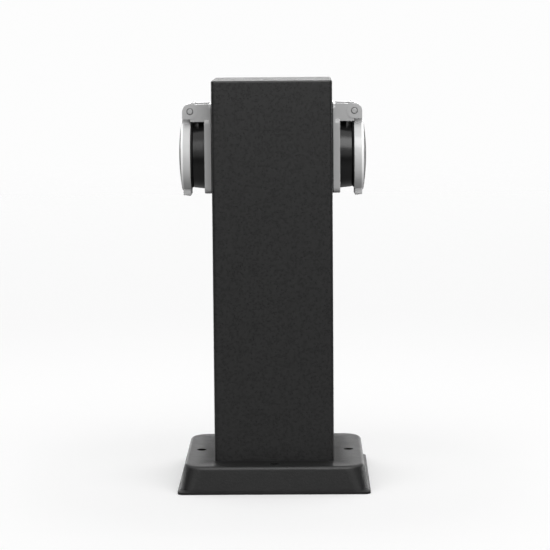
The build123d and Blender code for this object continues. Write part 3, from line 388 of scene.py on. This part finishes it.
def contact_brass():
    """Stamped brass with a light brown tarnish."""
    finish = new_finish("contact_brass", {"Metallic": 1.0})
    cloud = finish.spread(finish.speckle(2.6, detail=4.0), 0.35, 0.7)
    lines = finish.speckle(0.2, stretch=(0.1, 1, 1))
    colour = finish.between(cloud, (0.78, 0.58, 0.28, 1), (0.52, 0.34, 0.14, 1))
    return dress(finish, colour, 0.22 + 0.2 * cloud + 0.06 * lines, lines, depth=0.006)


def wire_insulation(name, colour, shade):
    """Smooth, slightly waxy insulation with a soft sheen."""
    finish = new_finish(name, {"Specular IOR Level": 0.5})
    cloud = finish.speckle(5.0, detail=3.0)
    skin = finish.speckle(0.5)
    colour = finish.between(cloud, colour, shade)
    return dress(finish, colour, 0.34 + 0.12 * skin, skin, depth=0.01)


def earth_insulation():
    """Green insulation with yellow stripes."""
    finish = new_finish("earth_insulation", {"Specular IOR Level": 0.5})
    bands = {"wave_type": "BANDS", "bands_direction": "DIAGONAL"}
    values = {"Vector": finish.place(), "Scale": 90.0}
    stripe = finish.add("ShaderNodeTexWave", bands, values, output="Fac")
    skin = finish.speckle(0.5)
    share = finish.spread(stripe, 0.42, 0.52)
    colour = finish.between(share, (0.03, 0.22, 0.04, 1), (0.75, 0.62, 0.03, 1))
    return dress(finish, colour, 0.34 + 0.12 * skin, skin, depth=0.01)


finishes = {
    "column_coating": powder_coat(),
    "base_plastic": base_grain(),
    "grey_plastic": moulded_plastic(
        "grey_plastic", dark=grey(0.34), light=grey(0.41), smoothest=0.13, roughest=0.22,
        depth=0.02, specular=0.5, lid_painted_light=True,
    ),
    "black_plastic": moulded_plastic(
        "black_plastic", dark=grey(0.004), light=grey(0.009), smoothest=0.20, roughest=0.32,
        depth=0.01, specular=0.35,
    ),
    "black_rubber": black_rubber(),
    "steel": plated_steel(),
    "spring": spring_steel(),
    "pin": dull_zinc(),
    "brass": contact_brass(),
    "block_plastic": moulded_plastic(
        "block_plastic", dark=grey(0.66, warmth=0.03), light=grey(0.76, warmth=0.02),
        smoothest=0.36, roughest=0.5,
    ),
    "brown_insulation": wire_insulation(
        "brown_insulation", (0.13, 0.045, 0.02, 1), shade=(0.10, 0.035, 0.015, 1),
    ),
    "blue_insulation": wire_insulation(
        "blue_insulation", (0.02, 0.10, 0.42, 1), shade=(0.015, 0.07, 0.33, 1),
    ),
    "earth_insulation": earth_insulation(),
}


# Pieces that keep the CAD shape, with smooth faces

def put(name, data):
    """A new object in the scene."""
    made = bpy.data.objects.new(name, data)
    bpy.context.scene.collection.objects.link(made)
    return made


def worked_mesh(piece):
    """The mesh of a piece as its modifiers leave it."""
    bpy.context.view_layer.update()
    settled = piece.evaluated_get(bpy.context.evaluated_depsgraph_get())
    return bpy.data.meshes.new_from_object(settled)


def soften(mesh, crease):
    """Smooth on round faces, and crisp at edges that turn by more degrees than the crease."""
    mesh.shade_smooth()
    mesh.set_sharp_from_angle(angle=math.radians(crease))


def stand_in(piece, node):
    """Makes a piece stand for a CAD node, on the node's body."""
    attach(piece, nodes[node]["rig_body"])
    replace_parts(piece, node)


def carved(mesh, cutter):
    """The mesh with the shape of another taken out of it."""
    whole, tool = put("uncut", mesh), put("cutter", cutter)
    whole.modifiers.new("cut", "BOOLEAN").object = tool
    made = worked_mesh(whole)
    for one in (whole, tool):
        bpy.data.objects.remove(one)
    return made


def smooth_piece(node, slot, look=None, crease=26.0, cutter=None):
    """A merged copy of a node, in its slot's finish or in another look."""
    mesh = nodes[node].data.copy()
    shape = bmesh.new()
    shape.from_mesh(mesh)
    bmesh.ops.remove_doubles(shape, verts=shape.verts, dist=0.0005 * mm)
    shape.to_mesh(mesh)
    shape.free()
    mesh.attributes.remove(mesh.attributes["custom_normal"])
    if cutter:
        mesh = carved(mesh, cutter)
    mesh.name = node + "_skin"
    mesh.materials.clear()
    mesh.materials.append(finishes[look or slot])
    soften(mesh, crease)
    piece = put(node + "_skin", mesh)
    weigh = piece.modifiers.new("even_faces", "WEIGHTED_NORMAL")
    weigh.keep_sharp = True
    weigh.weight = 100
    stand_in(piece, node)


# Geometry node trees

class Maker:
    """A geometry node tree with named sizes."""

    def __init__(self, name, sizes):
        self.tree = bpy.data.node_groups.new(name, "GeometryNodeTree")
        self.take("Geometry", "NodeSocketGeometry")
        for size, kind in sizes.items():
            self.take(size, kind)
        self.tree.interface.new_socket(
            "Geometry", in_out="OUTPUT", socket_type="NodeSocketGeometry",
        )
        self.given = self.tree.nodes.new("NodeGroupInput").outputs

    def take(self, name, kind):
        self.tree.interface.new_socket(name, in_out="INPUT", socket_type=kind)

    def add(self, kind, values=None, output=0, **settings):
        node = self.tree.nodes.new(kind)
        for name, value in settings.items():
            setattr(node, name, value)
        for name, value in (values or {}).items():
            for one in value if isinstance(value, list) else [value]:
                if isinstance(one, bpy.types.NodeSocket):
                    self.tree.links.new(one, node.inputs[name])
                else:
                    node.inputs[name].default_value = one
        return node.outputs[output]

    def work(self, operation, first, second):
        return self.add("ShaderNodeMath", {0: first, 1: second}, operation=operation)

    def times(self, first, second):
        return self.work("MULTIPLY", first, second)

    def vector(self, x=0.0, y=0.0, z=0.0):
        return self.add("ShaderNodeCombineXYZ", {0: x, 1: y, 2: z})

    def lifted(self, geometry, height):
        shift = self.vector(z=height)
        return self.add("GeometryNodeTransform", {"Geometry": geometry, "Translation": shift})

    def bar(self, sides_round, radius, length):
        values = {"Vertices": sides_round, "Radius": radius, "Depth": length}
        return self.add("GeometryNodeMeshCylinder", values)

    def cone(self, sides_round, top, bottom, length):
        return self.add("GeometryNodeMeshCone", {
            "Vertices": sides_round, "Radius Top": top, "Radius Bottom": bottom, "Depth": length,
        })

    def tube(self, path, profile):
        values = {"Curve": path, "Profile Curve": profile, "Fill Caps": True}
        return self.add("GeometryNodeCurveToMesh", values)

    def without(self, geometry, cutters):
        values = {"Mesh 1": geometry, "Mesh 2": cutters}
        return self.add("GeometryNodeMeshBoolean", values, operation="DIFFERENCE")

    def on_points(self, geometry):
        """A copy of the geometry at each given point, turned as the tree is told."""
        spots = self.add("GeometryNodeMeshToPoints", {"Mesh": self.given["Geometry"]})
        return self.add("GeometryNodeInstanceOnPoints", {
            "Points": spots, "Instance": geometry, "Rotation": self.given["Turn"],
        })

    def close(self, geometry):
        realized = self.add("GeometryNodeRealizeInstances", {"Geometry": geometry})
        finished = self.add("GeometryNodeSetMaterial", {
            "Geometry": realized, "Material": self.given["Finish"],
        })
        out = self.tree.nodes.new("NodeGroupOutput")
        self.tree.links.new(finished, out.inputs["Geometry"])
        return self.tree


number = "NodeSocketFloat"
whole_number = "NodeSocketInt"


def thread_on(maker, width, length, pitch):
    """A helical ridge round a core, from the origin down, inside the given width."""
    ridge_size = maker.times(pitch, thread_ridge)
    core = maker.work("SUBTRACT", maker.times(width, 0.5), ridge_size)
    turns = maker.work("DIVIDE", length, pitch)
    path = maker.add("GeometryNodeCurveSpiral", {
        "Resolution": thread_steps, "Rotations": turns,
        "Start Radius": core, "End Radius": core, "Height": length,
    })
    ridge = maker.add("GeometryNodeCurvePrimitiveCircle", {"Resolution": 4, "Radius": ridge_size})
    thread = maker.tube(path, ridge)
    thread = maker.lifted(thread, maker.times(length, -1.0))
    bar = maker.bar(24, core, length)
    bar = maker.lifted(bar, maker.times(length, -0.5))
    return [bar, thread]


def screw_tree():
    """Screws at the given points: a pan or sunk head with a cross recess, and a threaded shank."""
    maker = Maker("screw_set", {
        "Head Width": number, "Head Height": number, "Sunk Depth": number, "Shank Width": number,
        "Length": number, "Pitch": number, "Recess Width": number, "Recess Depth": number,
        "Turn": "NodeSocketVector", "Finish": "NodeSocketMaterial",
    })
    given = maker.given
    radius = maker.times(given["Head Width"], 0.5)
    ball = maker.add("GeometryNodeMeshUVSphere", {"Segments": 32, "Rings": 20, "Radius": radius})
    place = maker.add("GeometryNodeInputPosition")
    height = maker.add("ShaderNodeSeparateXYZ", {0: place}, output="Z")
    rise = maker.work("MAXIMUM", maker.work("DIVIDE", height, radius), 0.0)
    crown = maker.times(maker.work("POWER", rise, crown_power), given["Head Height"])
    lift = maker.vector(z=maker.work("SUBTRACT", crown, height))
    pan = maker.add("GeometryNodeSetPosition", {"Geometry": ball, "Offset": lift})
    shank_radius = maker.times(given["Shank Width"], 0.5)
    cone = maker.cone(32, radius, shank_radius, given["Sunk Depth"])
    cone = maker.lifted(cone, maker.times(given["Sunk Depth"], -1.0))
    no_depth = 1e-6
    is_sunk = maker.add(
        "FunctionNodeCompare", {0: given["Sunk Depth"], 1: no_depth}, operation="GREATER_THAN",
    )
    head = maker.add("GeometryNodeSwitch", {0: is_sunk, 1: pan, 2: cone}, input_type="GEOMETRY")
    deep = maker.times(given["Recess Depth"], 2.0)
    wide = given["Recess Width"]
    narrow = maker.times(wide, recess_arm)
    arms = [
        maker.add("GeometryNodeMeshCube", {"Size": maker.vector(*size)})
        for size in ((wide, narrow, deep), (narrow, wide, deep))
    ]
    arms = [maker.lifted(arm, given["Head Height"]) for arm in arms]
    head = maker.without(head, arms)
    shank = thread_on(maker, given["Shank Width"], given["Length"], given["Pitch"])
    screw = maker.add("GeometryNodeJoinGeometry", {"Geometry": [head] + shank})
    return maker.close(maker.on_points(screw))


def nut_tree():
    """Hexagon nuts at the given points, bored, with their corners chamfered at the free end."""
    maker = Maker("nut_set", {
        "Across Flats": number, "Height": number, "Bore": number,
        "Turn": "NodeSocketVector", "Finish": "NodeSocketMaterial",
    })
    flats, height = maker.given["Across Flats"], maker.given["Height"]
    body = maker.bar(6, maker.times(flats, 1 / math.sqrt(3)), height)
    body = maker.lifted(body, maker.times(height, -0.5))
    # The chamfer's cone goes past both ends, so that it shares no plane with the hexagon.
    spare = nut_chamfer_spare
    end_radius = maker.times(flats, nut_chamfer_end)
    narrowing = maker.times(height, spare * nut_chamfer_slope)
    narrow_radius = maker.work("SUBTRACT", end_radius, narrowing)
    widening = maker.times(height, (1 + spare) * nut_chamfer_slope)
    wide_radius = maker.work("ADD", end_radius, widening)
    cone = maker.cone(37, wide_radius, narrow_radius, maker.times(height, 1 + 2 * spare))
    cone = maker.lifted(cone, maker.times(height, -1 - spare))
    both = {"Mesh 2": [body, cone]}
    body = maker.add("GeometryNodeMeshBoolean", both, operation="INTERSECT")
    bore_radius = maker.times(maker.given["Bore"], 0.5)
    bore = maker.bar(24, bore_radius, maker.times(height, 4.0))
    return maker.close(maker.on_points(maker.without(body, bore)))


def wire_tree():
    """A round wire that follows the given line of points."""
    maker = Maker("round_wire", {
        "Radius": number, "Sides": whole_number, "Finish": "NodeSocketMaterial",
    })
    given = maker.given
    path = maker.add("GeometryNodeMeshToCurve", {"Mesh": given["Geometry"]})
    round_edge = maker.add("GeometryNodeCurvePrimitiveCircle", {
        "Resolution": given["Sides"], "Radius": given["Radius"],
    })
    return maker.close(maker.tube(path, round_edge))


trees = {"screws": screw_tree(), "nuts": nut_tree(), "wire": wire_tree()}


def grown(name, tree, points, sizes, edges=(), crease=35.0):
    """Runs a tree on points in millimetres, and keeps the result as a plain mesh."""
    seed = bpy.data.meshes.new(name + "_points")
    seed.from_pydata([Vector(point) * mm for point in points], list(edges), [])
    piece = put(name, seed)
    run = piece.modifiers.new("make", "NODES")
    run.node_group = trees[tree]
    inputs = [item for item in trees[tree].interface.items_tree if item.in_out == "INPUT"]
    identifiers = {item.name: item.identifier for item in inputs}
    for size, value in sizes.items():
        run[identifiers[size]] = value
    made = worked_mesh(piece)
    piece.modifiers.clear()
    made.name = name
    piece.data = made
    soften(made, crease)
    return piece


# Screws and nuts

def screws(name, node, points, head_width, shank, length, recess, head_height=0.0, sunk=0.0,
           turn=(0, 0, 0)):
    """Steel screws, one at each point, whose shanks go down from there before they are turned."""
    piece = grown(name, "screws", points, {
        "Head Width": head_width * mm, "Head Height": head_height * mm, "Sunk Depth": sunk * mm,
        "Shank Width": shank * mm, "Length": length * mm, "Pitch": thread_pitch * mm,
        "Recess Width": recess * mm, "Recess Depth": recess_depth * mm,
        "Turn": turn, "Finish": finishes["steel"],
    })
    stand_in(piece, node)


def nuts(name, node, points, flats, height, bore, turn):
    """Steel nuts, one at each point, that go down from there before they are turned."""
    piece = grown(name, "nuts", points, {
        "Across Flats": flats * mm, "Height": height * mm, "Bore": bore * mm,
        "Turn": turn, "Finish": finishes["steel"],
    })
    stand_in(piece, node)


both_ways = (-1, 1)
screws(
    "column_screw_set", "column_screws",
    [(x * tab_screw_reach, y * tab_screw_reach, plateau_under_z)
     for x in both_ways for y in both_ways],
    head_width=7.6, head_height=2.6, shank=4.0, length=10.5, recess=4.4, turn=(math.pi, 0, 0),
)
screws(
    "bracket_screw_set", "bracket_screws",
    [(x * bracket_screw_x, bracket_screw_y, bracket_top_z) for x in both_ways],
    head_width=6.6, head_height=2.2, shank=3.5, length=9.0, recess=4.0,
)
for side, sign in sides.items():
    corners = [
        (y * frame_screw_reach, socket_axis_z + z * frame_screw_reach)
        for y in both_ways for z in both_ways
    ]
    outward = (0, sign * quarter, 0)
    screws(
        side + "_frame_screw_set", side + "_frame_screws",
        [(sign * frame_face_x, y, z) for y, z in corners],
        head_width=6.0, sunk=1.6, shank=3.5, length=11.5, recess=3.6, turn=outward,
    )
    nuts(
        side + "_frame_nut_set", side + "_frame_nuts",
        [(sign * column_inner_x, y, z) for y, z in corners],
        flats=6.0, height=2.6, bore=3.6, turn=outward,
    )


# Lid springs, each bent from one wire round its hinge pin

def round_pin(sign, radius, angle, y):
    """A point in millimetres at an angle round a hinge pin, from level."""
    x, z = pin_x + radius * math.cos(angle), pin_z + radius * math.sin(angle)
    return (sign * x, y, z)


def coil_point(turn, sign):
    """A point of the coil after so many turns from the leg in the frame."""
    along = (turn - coil_turns / 2) * coil_pitch
    return round_pin(sign, coil_radius, quarter - 2 * math.pi * turn, -along)


def lid_spring(side, sign):
    """A torsion spring round the hinge pin, as one bent wire."""
    steps = round(steps_per_turn * coil_turns)
    coil = [coil_point(coil_turns * i / steps, sign) for i in range(steps + 1)]
    first_y = coil[0][1]
    frame_leg = (sign * (pin_x - spring_tail), first_y, pin_z + coil_radius)
    last_x, last_y, last_z = coil[-1]
    lid_leg = (last_x, last_y, last_z - spring_leg)
    points = [frame_leg] + coil + [lid_leg]
    edges = [(i, i + 1) for i in range(len(points) - 1)]
    sizes = {"Radius": spring_wire / 2 * mm, "Sides": 12, "Finish": finishes["spring"]}
    spring = grown(side + "_spring", "wire", points, sizes, edges, crease=60.0)
    twist_from = first_y - spring_wire / 2 - twist_clearance
    start, end = [Vector((sign * pin_x, y, pin_z)) * mm for y in (twist_from, -twist_from)]
    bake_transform(spring)
    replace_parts(spring, side + "_lid_spring")


def cover_slot(sign):
    """The slot in a lid's hinge cover, where the spring's frame leg comes as the lid opens."""
    shape = bmesh.new()
    low, high = cover_slot_angles
    inner, outer = cover_slot_radii
    leg_y = coil_point(0, sign)[1]
    half_width = spring_wire / 2 + cover_slot_clearance
    near, far = leg_y - half_width, leg_y + half_width
    rings = []
    for step in range(cover_slot_steps + 1):
        angle = math.radians(low + (high - low) * step / cover_slot_steps)
        corners = [(inner, near), (outer, near), (outer, far), (inner, far)]
        rings.append([
            shape.verts.new(Vector(round_pin(sign, radius, angle, y)) * mm)
            for radius, y in corners
        ])
    for first, second in zip(rings, rings[1:]):
        for i in range(4):
            j = (i + 1) % 4
            shape.faces.new((first[i], first[j], second[j], second[i]))
    shape.faces.new(rings[0])
    shape.faces.new(rings[-1])
    bmesh.ops.recalc_face_normals(shape, faces=shape.faces)
    mesh = bpy.data.meshes.new("cover_slot")
    shape.to_mesh(mesh)
    shape.free()
    return mesh


for side, sign in sides.items():
    lid_spring(side, sign)


# Everything else keeps its CAD shape, apart from the slots in the lids

for side, sign in sides.items():
    smooth_piece(side + "_lid", "grey_plastic", crease=17.0, cutter=cover_slot(sign))
    smooth_piece(side + "_hinge_pin", "steel", look="pin")
done = {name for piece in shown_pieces() for name in piece.get("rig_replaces", [])}
for part in frame["record"]["subparts"]:
    if part["node"] not in done:
        smooth_piece(part["node"], part["material_slot"])


# Floor, light and camera

def soft_floor():
    """A pale floor that fades into the background, with a faint painted glow round the base that
    pales the post's shadow.
    """
    reach = 4.0
    mesh = bpy.data.meshes.new("studio_floor")
    corners = [(-reach, -reach, 0), (reach, -reach, 0), (reach, reach, 0), (-reach, reach, 0)]
    mesh.from_pydata(corners, [], [(0, 1, 2, 3)])
    finish = new_finish("studio_floor", {
        "Specular IOR Level": 0.0, "Roughness": 1.0, "Emission Strength": 1.0,
    })
    inputs = finish.shader.inputs
    # Where each changes, from near the post to far from it
    fade, paling, dimming, painted_glow_end = (0.5, 3.4), (0.2, 0.9), (0.2, 0.7), (0.06, 0.17)
    away = finish.add(
        "ShaderNodeVectorMath", {"operation": "LENGTH"}, {0: finish.place()}, output="Value",
    )
    finish.feed(inputs["Alpha"], finish.spread(away, *fade, to_low=1.0, to_high=0.0))
    seen = finish.add("ShaderNodeLightPath", output="Is Camera Ray")
    # The camera sees the floor painted white near the post and a little greyer farther off, a
    # painted fall-off of light.
    near_white = finish.between(finish.spread(away, *paling), grey(1.0), grey(0.94))
    bounce = finish.between(finish.spread(away, *dimming), grey(0.37), grey(0.09))
    finish.feed(inputs["Base Color"], finish.between(seen, bounce, near_white))
    # Painted glow: the floor gives off a little light round the base, where the post's shadow falls.
    painted_glow = finish.spread(away, *painted_glow_end, to_low=0.07, to_high=0.0)
    finish.feed(inputs["Emission Color"], seen * painted_glow)
    mesh.materials.append(finish.owner)
    put("studio_floor", mesh)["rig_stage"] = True


def studio_world():
    """White low down behind, greyer in front, and bright overhead. The camera sees plain white.

    Heights and depths are shares of a unit step in the direction of the light.
    """
    world = bpy.data.worlds.new("studio")
    bpy.context.scene.world = world
    finish = Finish(world)
    way = finish.add("ShaderNodeTexCoord", output="Generated")
    across, away, up = finish.parts(way, "XYZ")
    low_band = finish.spread(up, 0.04, 0.13, to_low=6.4, to_high=0.55)
    behind = low_band * finish.spread(up, -0.03, 0.01)
    ahead = finish.spread(up, -0.15, 0.02, to_low=0.1)
    level = finish.spread(away, 0.1, 0.9) * behind + finish.spread(away, -0.1, -0.7) * ahead + 0.12
    over = finish.spread(up, 0.45, 0.9)
    light = (level * (1 - over) + over * 1.8) * (1 + across * 0.15)
    lit = finish.add("ShaderNodeBackground", {}, {"Strength": light})
    seen = finish.add("ShaderNodeBackground", {}, {"Color": grey(0.98), "Strength": 1.0})
    direct = finish.add("ShaderNodeLightPath", output="Is Camera Ray")
    either = finish.add("ShaderNodeMixShader", {}, {0: direct, 1: lit, 2: seen})
    finish.feed(finish.tree.nodes["World Output"].inputs["Surface"], either)


def lit_set(name, pieces):
    """The pieces that a light reaches, as if flags kept it off the rest."""
    lit = bpy.data.collections.new(name)
    for piece in pieces:
        lit.objects.link(piece)
    return lit


def softbox(name, place, target, size, power, lit, card=False):
    """An even rectangle of light, aimed at a point, that reaches one set of pieces.

    A card only gives them a reflection.
    """
    light = bpy.data.lights.new(name, "AREA")
    light.shape = "RECTANGLE"
    light.size, light.size_y = size
    light.energy = power
    lamp = put(name, light)
    lamp.location = place
    lamp.rotation_euler = (Vector(target) - Vector(place)).to_track_quat("-Z", "Y").to_euler()
    lamp.visible_camera = False
    lamp.visible_diffuse = not card
    lamp.light_linking.receiver_collection = lit


def studio_lights():
    """A key light and a weaker one from the left, with a rim light and a card for each lid."""
    whole_post = lit_set("whole_post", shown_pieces())
    lids_only = lit_set("lids_only", [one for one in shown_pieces() if "_lid_skin" in one.name])
    upper_post = (0.0, 0.0, 0.20)
    softbox(
        "key_light", (0.20, -0.47, 0.65), upper_post,
        size=(0.45, 0.40), power=2.65, lit=whole_post,
    )
    softbox(
        "left_light", (-0.32, -0.50, 0.58), upper_post,
        size=(0.35, 0.40), power=0.95, lit=whole_post,
    )
    rim_powers = {"right": 1.2, "left": 0.55}
    for side, sign in sides.items():
        softbox(
            side + "_rim_light", (sign * 0.22, -0.62, 0.32), (sign * 0.06, -0.02, 0.22),
            size=(0.10, 0.50), power=rim_powers[side], lit=lids_only,
        )
    for side, sign in sides.items():
        softbox(
            side + "_card", (sign * 0.70, 1.13, 0.25), (sign * 0.06, 0.0, 0.22),
            size=(0.30, 0.50), power=1.2, lit=lids_only, card=True,
        )


def photo_camera():
    """The camera as fitted to the photograph's edges."""
    place = (0.02033, -1.5185, 0.31702)
    turn, tip, roll = 0.0128, 0.1169, 0.0079
    focal_pixels, frame_pixels, sensor = 2242.28, 550, 36.0
    level = Vector((-math.sin(turn), math.cos(turn), 0))
    across = Vector((math.cos(turn), math.sin(turn), 0))
    ahead = level * math.cos(tip) - Vector((0, 0, math.sin(tip)))
    above = level * math.sin(tip) + Vector((0, 0, math.cos(tip)))
    right = across * math.cos(roll) - above * math.sin(roll)
    up = above * math.cos(roll) + across * math.sin(roll)
    lens = bpy.data.cameras.new("photo_camera")
    lens.sensor_width = sensor
    lens.lens = focal_pixels / frame_pixels * sensor
    camera = put("photo_camera", lens)
    turned = Matrix((right, up, -ahead)).transposed().to_4x4()
    camera.matrix_world = Matrix.Translation(place) @ turned
    bpy.context.scene.camera = camera


soft_floor()
studio_world()
studio_lights()
photo_camera()
bpy.context.scene.view_settings.view_transform = "Standard"
bpy.context.scene.view_settings.look = "None"
